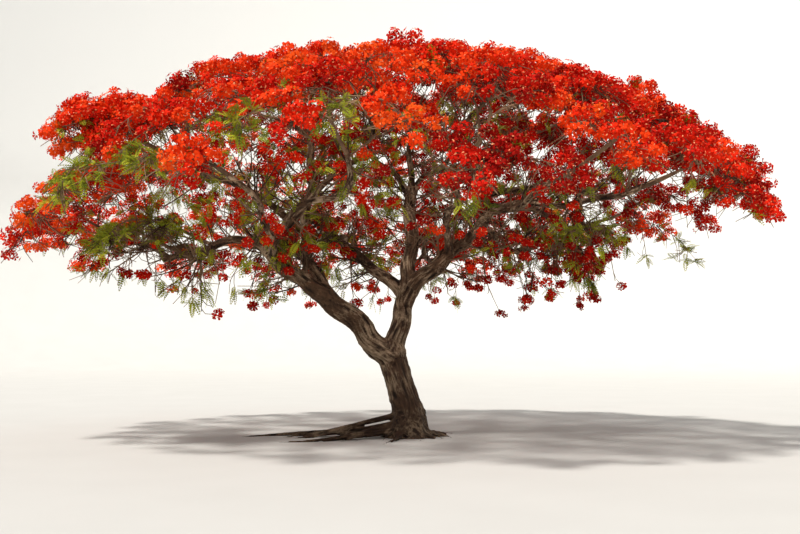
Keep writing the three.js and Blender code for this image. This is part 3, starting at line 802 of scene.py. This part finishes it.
def own_places(mass, index):
    """Places of the sprays of a mass that stands off the dome: a small dome of its own."""
    draw = draws(index + SEED_LOBES)
    places = []
    for k in range(mass["sprays"]):
        away = math.sqrt((k + 0.5) / mass["sprays"])
        sink = mass["reach"] * SPRAY_SINK * next(draw) ** 2
        reach = LOBE_SHARE * mass["reach"] * away
        place = mass["middle"] + reach * way(math.degrees(k * GOLDEN_ANGLE), 0)
        place[2] += mass["reach"] * RIM_DROP * (1 - away ** 2) - sink
        places.append((place, sink))
    return places


def buds_on(twig, shares):
    """Buds along a twig, each with the way that the twig runs there and its radius."""
    start, bend, end, first, last = twig
    buds = []
    for share in shares:
        place = bent(start, bend, end, share)
        ahead = unit((1 - share) * (bend - start) + share * (end - bend))
        buds.append(dict(place=place, ahead=ahead, radius=first + (last - first) * share))
    return buds


def nearest_bud(buds, place):
    return buds[int(np.argmin([np.linalg.norm(bud["place"] - place) for bud in buds]))]


def twig_from(bud, end, taper, crook):
    """A twig that leaves its bud along the wood that bears it and bends round to its end."""
    gap = np.linalg.norm(end - bud["place"])
    bend = bud["place"] + 0.5 * gap * unit(unit(end - bud["place"]) + BEARER_PULL * bud["ahead"])
    bend = bend + gap * crook * dice.normal(size=3)
    return bud["place"], bend, end, *(max(THINNEST, bud["radius"] * share) for share in taper)


def spray_kind(mass, hub, sink):
    """Blossom stands thick on the right and on top, thinner on the left and low inside the crown."""
    if mass.get("leafy"):
        return str(dice.choice(["leaf", "bloom", "bare"], p=LEAFY_SHARES))
    if hub[2] > ALL_BLOOM_ABOVE:
        return "bloom"
    on_left = hub[0] < LEFT_FROM and mass["name"] not in FULL_ON_LEFT
    if on_left and dice.random() < BARE_LEFT:
        return "bare"
    chance = IN_BLOOM_LEFT if on_left else IN_BLOOM
    if sink > LOW_BY:
        chance *= IN_BLOOM_LOW
    return "bloom" if dice.random() < chance else "leaf"


def grow_mass(mass, targets):
    """The twigs of a mass: a stem from the foot of its bough, then a twig to the hub of each spray."""
    foot, middle = mass["foot"], mass["middle"]
    stem = (foot, 0.5 * (foot + middle) + STEM_CROOK * dice.normal(size=3), middle, *STEM_RADIUS)
    stems.append(stem)
    buds = buds_on(stem, STEM_BUDS)
    for target, sink in sorted(targets, key=lambda spray: np.linalg.norm(spray[0] - foot)):
        facing = crown_normal(*target[:2])
        hub = target - HUB_SINK * facing
        bud = nearest_bud(buds, hub)
        buds = [other for other in buds if other is not bud]
        twig = twig_from(bud, hub, TWIG_TAPER, TWIG_CROOK)
        twigs.append(twig)
        fresh = buds_on(twig, TWIG_BUDS)
        buds.extend(fresh)
        kind = spray_kind(mass, hub, sink)
        sprays.append(dict(hub=hub, facing=facing, buds=fresh[1:], mass=mass, kind=kind, low=sink))


def grow_spray(spray):
    """Finer twigs in a flat fan round the hub, each ending in a flower cluster or a tuft of leaves."""
    facing = spray["facing"]
    side = unit(np.cross(facing, CLUMP_SIDE))
    across = np.cross(facing, side)
    fewest_and_most = CLUSTERS_IN_BLOOM if spray["kind"] == "bloom" else CLUSTERS_IN_LEAF
    count = int(dice.integers(*fewest_and_most, endpoint=True))
    spin = dice.random() * 2 * math.pi
    taken = []
    for k in range(count):
        away = CLUMP_SPREAD * math.sqrt((k + CLUMP_START) / count) * dice.uniform(*CLUMP_VARIES)
        turn = k * GOLDEN_ANGLE + spin
        lift = HUB_SINK + dice.uniform(*CLUMP_LIFT) - CLUMP_CURVE * away ** 2
        place = spray["hub"] + away * (math.cos(turn) * side + math.sin(turn) * across) + lift * facing
        if any(np.linalg.norm(place - other) < CLUSTER_APART for other in taken):
            continue
        taken.append(place)
        twig = twig_from(nearest_bud(spray["buds"], place), place, FINE_TAPER, FINE_CROOK)
        fine.append(twig)
        ahead = unit(place - twig[1] + TIP_LIFT * facing)
        tips.append(dict(place=place, ahead=ahead, spray=spray, kind=spray["kind"], size=1))


stems, twigs, fine, bare, sprays, tips = [], [], [], [], [], []
dome = dome_places()
for index, mass in enumerate(MASSES):
    grow_mass(mass, own_places(mass, index) if mass.get("sprays") else dome[index])
for spray in sprays:
    grow_spray(spray)

# The bare tangle inside the crown, tucked in under its blossom.
TANGLE = 5400
TANGLE_RADIUS = 0.009
TANGLE_TAPER = (1, 0.6)
TANGLE_CROOK = 0.12
TANGLE_LENGTH = (0.25, 0.7)
TANGLE_SIDEWAYS = 0.8
TANGLE_RISE = (-0.75, 0.05)
TANGLE_TUCK = 1.6


def any_of(things):
    return things[int(dice.integers(len(things)))]


def any_heading():
    """A level direction."""
    return unit(np.append(dice.normal(size=2), 0))


for _ in range(TANGLE):
    spray = any_of(sprays)
    bud = any_of(spray["buds"])
    length = dice.uniform(*TANGLE_LENGTH)
    sideways = TANGLE_SIDEWAYS * any_heading()
    end = bud["place"] + length * (sideways + (0, 0, dice.uniform(*TANGLE_RISE)))
    past = max(0, (end - spray["hub"]) @ spray["facing"])
    end = end - TANGLE_TUCK * past * spray["facing"]
    bare.append(twig_from(dict(bud, radius=TANGLE_RADIUS), end, TANGLE_TAPER, TANGLE_CROOK))

# Shoots that stand out from the limbs and boughs, with a few leaves and clusters of their own.
SHOOTING = ["left_upright", "mid_left_limb", "centre_stem", "right_stem", "right_upright", "left_arm"]
SHOOTS_ON_LIMB = 26
SHOOTS_ON_BOUGH = 20
SHOOT_FROM = 9
SHOOT_LENGTH = (0.4, 1.0)
SHOOT_LIFT = 0.3
SHOOT_AHEAD = 0.6
SHOOT_RADIUS = 0.016
SHOOT_TAPER = (1, 0.5)
SHOOT_CROOK = 0.08
SHOOT_BUDS = (0.35, 0.55, 0.75, 0.95)
SIDE_TWIG_LENGTH = (0.2, 0.5)
SIDE_TWIG_SPREAD = 0.9
SIDE_TWIG_TAPER = (0.8, 0.5)
SIDE_TWIG_CROOK = 0.1
LEAF_BELOW = dict(left=0.2, right=0.08)
LEAF_SIZE = 0.7
BLOOM_ABOVE = 0.83
BLOOM_SIZE = 0.75
for name in boughs + SHOOTING:
    line = wood[name]["line"]
    for _ in range(SHOOTS_ON_LIMB if name in SHOOTING else SHOOTS_ON_BOUGH):
        at = int(dice.integers(SHOOT_FROM, FINE_STEPS))
        ahead = unit(line[at] - line[at - 1])
        outward = dice.normal(size=3) + (0, 0, SHOOT_LIFT)
        outward = unit(outward - ahead * (outward @ ahead))
        end = line[at] + dice.uniform(*SHOOT_LENGTH) * unit(SHOOT_AHEAD * ahead + outward)
        start = dict(place=line[at], ahead=outward, radius=SHOOT_RADIUS)
        shoot = twig_from(start, end, SHOOT_TAPER, SHOOT_CROOK)
        twigs.append(shoot)
        for bud in buds_on(shoot, SHOOT_BUDS):
            length = dice.uniform(*SIDE_TWIG_LENGTH)
            end = bud["place"] + length * unit(bud["ahead"] + SIDE_TWIG_SPREAD * dice.normal(size=3))
            twig = twig_from(bud, end, SIDE_TWIG_TAPER, SIDE_TWIG_CROOK)
            bare.append(twig)
            tip = dict(place=end, ahead=unit(end - twig[1]))
            chance = dice.random()
            if chance < LEAF_BELOW["left" if end[0] < 0 else "right"]:
                tips.append(dict(tip, kind="leaf", size=LEAF_SIZE))
            elif chance > BLOOM_ABOVE:
                tips.append(dict(tip, kind="bloom", size=BLOOM_SIZE, low=True))

# Twigs that hang down under the crown, some with a small cluster or a few leaves at an end.
HANGING = dict(low_right=30, right_near=7, near_right=7, far_right=16, far_mid_right=20,
               far_mid_left=22, right_far=6, near_mid_right=4, low_left=4, far_left=12, left_far=4)
HANGING_WITHIN = 4.7
HANGING_LENGTH = (0.5, 1.2)
HANGING_SIDEWAYS = 0.45
HANGING_DROP = 0.9
HANGING_BEND = (0.2, 0.6)
HANGING_BEND_DROP = 0.1
HANGING_RADIUS = 0.009
HANGING_BUDS = (0.45, 0.65, 0.8, 0.92)
HANGING_SIDE_LENGTH = 0.26
HANGING_SIDE_SPREAD = 0.8
HANGING_SIDE_TAPER = (0.9, 0.6)
HANGING_SIDE_ENDS = 0.3
HANGING_SIDE_SIZE = 0.5
HANGING_SIZE = 0.75
HANGING_ENDS = dict(right=(0.68, 0.12, 0.2), left=(0.25, 0.45, 0.3))


def end_hanging(place, ahead, size, shares):
    """Ends a hanging twig in a small cluster, a few leaves or nothing."""
    kind = str(dice.choice(["bloom", "leaf", "bare"], p=shares))
    tips.append(dict(place=place, ahead=ahead, kind=kind, size=size, low=True))


for mass_name, count in HANGING.items():
    bearing = [spray for spray in sprays
               if spray["mass"]["name"] == mass_name and abs(spray["hub"][0]) < HANGING_WITHIN]
    for _ in range(count):
        bud = any_of(any_of(bearing)["buds"])
        length = dice.uniform(*HANGING_LENGTH)
        sideways = any_heading()
        end = bud["place"] + length * (HANGING_SIDEWAYS * sideways + (0, 0, -HANGING_DROP))
        swing = dice.uniform(*HANGING_BEND)
        bend = bud["place"] + length * (swing * sideways + (0, 0, -HANGING_BEND_DROP))
        twig = (bud["place"], bend, end, HANGING_RADIUS, THINNEST)
        twigs.append(twig)
        shares = HANGING_ENDS["left" if end[0] < LEFT_FROM else "right"]
        for side_bud in buds_on(twig, HANGING_BUDS):
            away = unit(side_bud["ahead"] + HANGING_SIDE_SPREAD * dice.normal(size=3))
            side_end = side_bud["place"] + HANGING_SIDE_LENGTH * away
            bare.append(twig_from(side_bud, side_end, HANGING_SIDE_TAPER, SIDE_TWIG_CROOK))
            if dice.random() < HANGING_SIDE_ENDS:
                end_hanging(side_end, side_bud["ahead"], HANGING_SIDE_SIZE, shares)
        end_hanging(end, unit(end - bend), HANGING_SIZE, shares)

# Four sprays that make the right tip blunt.
BLUNT_TIP = [(6.1, -0.4, 4.85), (6.15, 0.35, 4.8), (6.26, 0, 4.62), (6.22, -0.2, 4.34)]
tip_sprays = [spray for spray in sprays if spray["mass"]["name"] == "right_tip"]
tip_buds = [bud for spray in tip_sprays for bud in spray["buds"]]
for place in BLUNT_TIP:
    hub = np.array(place, float)
    twig = twig_from(nearest_bud(tip_buds, hub), hub, TWIG_TAPER, TWIG_CROOK)
    twigs.append(twig)
    sprays.append(dict(hub=hub, facing=crown_normal(*hub[:2]), buds=buds_on(twig, TWIG_BUDS)[1:],
                       mass=tip_sprays[0]["mass"], kind="bloom", low=0))
    grow_spray(sprays[-1])

twig_mesh = mesh_of("twigs", [
    sweep(stems, sides=6, steps=6),
    sweep(twigs, sides=4, steps=4),
    sweep(fine, sides=3, steps=3),
])
bare_mesh = mesh_of("bare_twigs", [sweep(bare, sides=3, steps=2)])
TWIG_TONE_RANGE = (0.36, 0.62)
twig_bark = Shader("twig_bark", {"Roughness": 0.85, "Specular IOR Level": 0.2})
twig_paler = twig_bark.ramp(twig_bark.noise(twig_bark.place(), scale=1.6, detail=5), *TWIG_TONE_RANGE)
twig_tones = twig_bark.blend(twig_paler, tone(62, 43, 33), tone(148, 119, 92))
twig_bark.feed(twig_bark.surface, {"Base Color": twig_tones})
mass_nodes = [("leaves_" if mass.get("leafy") else "bloom_") + mass["name"] for mass in MASSES]
wood_piece("twigs", twig_mesh, twig_bark.material, mass_nodes)
wood_piece("bare_twigs", bare_mesh, twig_bark.material, mass_nodes)

# Blossom
# Round clusters of flowers stand at the twig ends. A flower has four spoon-shaped petals of crisp red
# and a fifth, its standard, that is pale. Each spray has a red of its own, more orange on the left and
# on top, deeper on the right, and some of its clusters take the next red to it. Sprays low in the crown
# and clusters on shoots and hanging twigs take a deeper red still, as painted shade under the blossom.
FLOWERS = (13, 19)
CLUSTER_RADIUS = (0.1, 0.14)
CLUSTER_SHAPE = (1.2, 1.2, 0.85)
CLUSTER_DEPTH = 1.6
CLUSTER_FILL = (0.25, 1.15)
CLUSTER_AHEAD = 0.02
STRAY_CLUSTERS = 0.05
FLOWER_TILT = 0.18
PETAL_LENGTH = (0.054, 0.073)
PETAL_LEAN = 0.1
PETAL_OUTLINE = np.array([
    (0.06, 0, 0), (0.6, -0.3, 0.2), (0.6, 0.3, 0.2), (1, -0.2, 0.08), (1, 0.2, 0.08),
])
PETAL_FACES = np.array([(0, 1, 2), (1, 3, 4), (1, 4, 2)])
STANDARD_OUTLINE = np.array([(0, 0, 0), (0.55, -0.2, 0.05), (0.85, 0, 0), (0.55, 0.2, 0.05)])
STANDARD_FACES = np.array([(0, 1, 2), (0, 2, 3)])
STANDARD_LEAN = 0.8
STANDARD_REACH = 0.8
STANDARD_COLOUR = tone(248, 160, 112)
REDS = {
    "dark_red": tone(160, 16, 8),
    "crimson": tone(202, 24, 8),
    "scarlet": tone(228, 40, 10),
    "vermilion": tone(242, 64, 16),
    "orange_red": tone(244, 84, 22),
}
RED_STEPS = (0.14, 0.42, 0.62, 0.84)
NEIGHBOUR_REDS = (0.22, 0.56, 0.22)
WARMTH = 0.54
WARMTH_FALL = 0.03
WARMTH_VARIES = 0.15
# How much deeper the red of low sprays and clusters is: painted shade inside and under the crown.
LOW_PAINTED_SHADE = 0.33


def petals(flowers, turn, lean, outline, faces, reach):
    """The same petal of every flower, as points and faces."""
    up = flowers["facing"]
    first = unit(np.cross(beside(up), up))
    second = np.cross(up, first)
    spin = flowers["spin"][:, None] + turn
    along = np.cos(spin) * first + np.sin(spin) * second
    across = np.cross(up, along)
    size = reach * flowers["size"][:, None]
    x, y, z = outline.T
    length = (x * math.cos(lean) - z * math.sin(lean)) * size
    rise = (x * math.sin(lean) + z * math.cos(lean)) * size
    points = flowers["place"][:, None] + length[..., None] * along[:, None]
    points = points + (y * size)[..., None] * across[:, None] + rise[..., None] * up[:, None]
    faces = faces[None] + len(outline) * np.arange(len(points))[:, None, None]
    return points.reshape(-1, 3), faces.reshape(-1, 3)


def red_of(place, low):
    """The red of a spray, from deep at 0 to orange at 4."""
    warmth = WARMTH - WARMTH_FALL * place[0] + WARMTH_VARIES * dice.normal()
    # A low spray or cluster takes a deeper red: painted shade inside and under the crown.
    return int(np.searchsorted(RED_STEPS, warmth - (LOW_PAINTED_SHADE if low else 0)))


for spray in sprays:
    spray["red"] = red_of(spray["hub"], spray["low"] > LOW_BY)
parts = dict(place=[], facing=[], red=[])
for tip in tips:
    if tip["kind"] != "bloom" and dice.random() > STRAY_CLUSTERS:
        continue
    count = int(math.sqrt(tip["size"]) * dice.integers(*FLOWERS, endpoint=True))
    k = np.arange(count)
    height = 1 - CLUSTER_DEPTH * (k + 0.5) / count
    flat = np.sqrt(1 - height ** 2)
    turn = k * GOLDEN_ANGLE + dice.random() * 2 * math.pi
    outward = np.stack([flat * np.cos(turn), flat * np.sin(turn), height], axis=1)
    outward = unit(outward + FLOWER_TILT * dice.normal(size=(count, 3)))
    radius = tip["size"] * dice.uniform(*CLUSTER_RADIUS) * dice.uniform(*CLUSTER_FILL, (count, 1))
    middle = tip["place"] + CLUSTER_AHEAD * tip["ahead"]
    parts["place"].append(middle + radius * outward * CLUSTER_SHAPE)
    parts["facing"].append(outward)
    red = tip["spray"]["red"] if "spray" in tip else red_of(tip["place"], tip.get("low"))
    red = min(max(red + int(dice.choice((-1, 0, 1), p=NEIGHBOUR_REDS)), 0), len(REDS) - 1)
    parts["red"].append(np.full(count, red))
flowers = {key: np.concatenate(rows) for key, rows in parts.items()}
total = len(flowers["red"])
flowers["spin"] = dice.uniform(0, 2 * math.pi, total)
flowers["size"] = dice.uniform(*PETAL_LENGTH, total)


def plain_piece(name, groups, colour):
    shader = Shader(name, {"Base Color": colour, "Roughness": 0.7, "Specular IOR Level": 0.06})
    finished_piece(name, mesh_of(name, groups), shader.material, mass_nodes)


for number, (name, colour) in enumerate(REDS.items()):
    chosen = {key: values[flowers["red"] == number] for key, values in flowers.items()}
    turns = [fifth * 2 * math.pi / 5 for fifth in (1, 2, 3, 4)]
    groups = [petals(chosen, turn, PETAL_LEAN, PETAL_OUTLINE, PETAL_FACES, 1) for turn in turns]
    plain_piece(f"petals_{name}", groups, colour)
standards = petals(flowers, 0, STANDARD_LEAN, STANDARD_OUTLINE, STANDARD_FACES, STANDARD_REACH)
plain_piece("standard_petals", [standards], STANDARD_COLOUR)

# Leaves
# Feathery leaves in tufts, each a thin arching rib with two rows of narrow leaflets. The blossom comes
# with few of them: young yellow-green tufts inside the crown, and more at its low left and low right.
TUFT = (7, 12)
TUFT_LEAST = 2
TUFT_DEPTH = 0.12
TUFT_AHEAD = 0.7
TUFT_SPREAD = 0.75
STRAY_TUFTS = 0.05
LEAF_LENGTH = (0.13, 0.23)
LEAF_ARCH = 0.22
LEAF_ROLL = 0.9
RIB = 0.008
PAIRS = 7
FIRST_PAIR = 0.12
PAIRS_RUN = 0.86
LEAFLET = 0.3
LEAFLET_SWELL = (0.25, 0.65)
LEAFLET_CORNERS = [
    dict(along=0, lean=0, reach=0, rise=0),
    dict(along=0.02, lean=0, reach=0.5, rise=0.01),
    dict(along=0, lean=0.35, reach=1, rise=-0.03),
    dict(along=0.14, lean=0, reach=0.45, rise=0.01),
]
GREENS = {
    "young_green": tone(176, 180, 50),
    "leaf_green": tone(138, 148, 44),
    "deep_green": tone(102, 114, 38),
}
GREEN_SHARES = (0.4, 0.38, 0.22)


def leaf_shape():
    """A leaf of length 1 along X: a rib and pairs of narrow leaflets that shorten to the tip."""
    points = [(0, RIB, 0), (0, -RIB, 0), (1, 0, 0)]
    faces = [(0, 1, 2)]
    at_foot, at_tip = LEAFLET_SWELL
    for pair in range(PAIRS):
        at = FIRST_PAIR + PAIRS_RUN * pair / (PAIRS - 1)
        reach = LEAFLET * math.sin(math.pi * (at_foot + at_tip * at))
        for side in (-1, 1):
            start = len(points)
            for corner in LEAFLET_CORNERS:
                along = at + corner["along"] + corner["lean"] * reach
                points.append((along, side * reach * corner["reach"], corner["rise"]))
            faces += [(start, start + 1, start + 2), (start, start + 2, start + 3)]
    return np.array(points), np.array(faces)


leaf_points, leaf_faces = leaf_shape()
leaf_parts = dict(start=[], ahead=[])
for tip in tips:
    if tip["kind"] != "leaf" and dice.random() > STRAY_TUFTS:
        continue
    count = max(TUFT_LEAST, int(tip["size"] * dice.integers(*TUFT, endpoint=True)))
    leaf_parts["start"].append(tip["place"] - TUFT_DEPTH * dice.random((count, 1)) * tip["ahead"])
    spread = TUFT_SPREAD * dice.normal(size=(count, 3))
    leaf_parts["ahead"].append(unit(TUFT_AHEAD * tip["ahead"] + spread))
leaves = {key: np.concatenate(rows) for key, rows in leaf_parts.items()}
total = len(leaves["start"])
leaves["length"] = dice.uniform(*LEAF_LENGTH, total)
leaves["roll"] = dice.uniform(-LEAF_ROLL, LEAF_ROLL, total)
leaves["green"] = dice.choice(len(GREENS), total, p=GREEN_SHARES)
for number, (name, colour) in enumerate(GREENS.items()):
    chosen = {key: values[leaves["green"] == number] for key, values in leaves.items()}
    ahead = chosen["ahead"]
    level = unit(np.cross((0, 0, 1), ahead))
    upward = np.cross(ahead, level)
    cos, sin = np.cos(chosen["roll"])[:, None], np.sin(chosen["roll"])[:, None]
    side, up = cos * level + sin * upward, cos * upward - sin * level
    x, y, z = (leaf_points[None, :, k, None] for k in range(3))
    points = x * ahead[:, None] + y * side[:, None] + z * up[:, None]
    points[..., 2] -= LEAF_ARCH * leaf_points[None, :, 0] ** 2
    points = chosen["start"][:, None] + chosen["length"][:, None, None] * points
    faces = leaf_faces[None] + len(leaf_points) * np.arange(len(points))[:, None, None]
    plain_piece(f"leaves_{name}", [(points.reshape(-1, 3), faces.reshape(-1, 3))], colour)

# Studio
# A round pale floor of seamless paper that bends up all round into a pale wall, far enough from the
# tree to leave every side open to a camera. It is spun from its side view.
WALL_AWAY = 62
WALL_HEIGHT = 46
PAPER_BEND = 14
BEND_STEPS = 12
ROUND_STEPS = 128
PAPER_MOTTLE = 2
PAPER_TONE_RANGE = (0.5, 18)
stage_mesh = bpy.data.meshes.new("floor_and_wall")
bm = bmesh.new()
side_view = [(0, 0)]
for k in range(BEND_STEPS + 1):
    lean = math.pi / 2 * k / BEND_STEPS
    side_view.append((WALL_AWAY - PAPER_BEND * (1 - math.sin(lean)), PAPER_BEND * (1 - math.cos(lean))))
side_view.append((WALL_AWAY, WALL_HEIGHT))
rim = [bm.verts.new((away, 0, rise)) for away, rise in side_view]
lines = [bm.edges.new(pair) for pair in zip(rim, rim[1:])]
bmesh.ops.spin(bm, geom=rim + lines, cent=(0, 0, 0), axis=(0, 0, 1), angle=2 * math.pi,
               steps=ROUND_STEPS, use_merge=True)
bmesh.ops.remove_doubles(bm, verts=bm.verts[:], dist=0.001)
bmesh.ops.recalc_face_normals(bm, faces=bm.faces[:])
bm.to_mesh(stage_mesh)
bm.free()
stage_mesh.shade_smooth()
stage_shader = Shader("pale_paper", {"Roughness": 0.95, "Specular IOR Level": 0.1})
paper_place = stage_shader.place()
paper_noise = stage_shader.noise(paper_place, scale=0.6, detail=2)
paper_rise = stage_shader.rise(paper_place)
paper_tone = stage_shader.ramp(paper_rise + paper_noise * PAPER_MOTTLE, *PAPER_TONE_RANGE)
stage_shader.feed(stage_shader.surface, {
    "Base Color": stage_shader.blend(paper_tone, tone(199, 198, 195), tone(252, 252, 250))})
stage_mesh.materials.append(stage_shader.material)
floor = placed("floor_and_wall", stage_mesh)
floor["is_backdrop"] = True

# Light and camera
# One soft key light high on the left, like a hazy sun, and pale light from all around. The camera
# stands at eye height, 18 m in front of the trunk, and looks a little up into the crown.
KEY_TURN = 228
KEY_RISE = 62
key = bpy.data.lights.new("key", "SUN")
key.energy = 3.8
key.angle = math.radians(7)
key.color = (1, 0.96, 0.9)
key_light = placed("key", key)
key_light.rotation_euler = (-Vector(way(KEY_TURN, KEY_RISE))).to_track_quat("-Z", "Y").to_euler()
world = bpy.data.worlds.new("studio")
world.use_nodes = True
world.node_tree.nodes["Background"].inputs["Color"].default_value = (0.95, 0.97, 1, 1)
world.node_tree.nodes["Background"].inputs["Strength"].default_value = 0.42
bpy.context.scene.world = world
bpy.context.scene.view_settings.view_transform = "Standard"

EYE = (-0.12, -18.0, 1.6)
LOOK_UP = 0.08
LENS = 45
camera = bpy.data.cameras.new("camera")
camera.lens = LENS
camera.clip_end = 200
viewer = placed("camera", camera)
viewer.location = EYE
viewer.rotation_euler = (math.pi / 2 + math.atan(LOOK_UP), 0, 0)
bpy.context.scene.camera = viewer

boxes = {"cad": cad_box, "visual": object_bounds()}
{name: [list(corner) for corner in box] for name, box in boxes.items()}
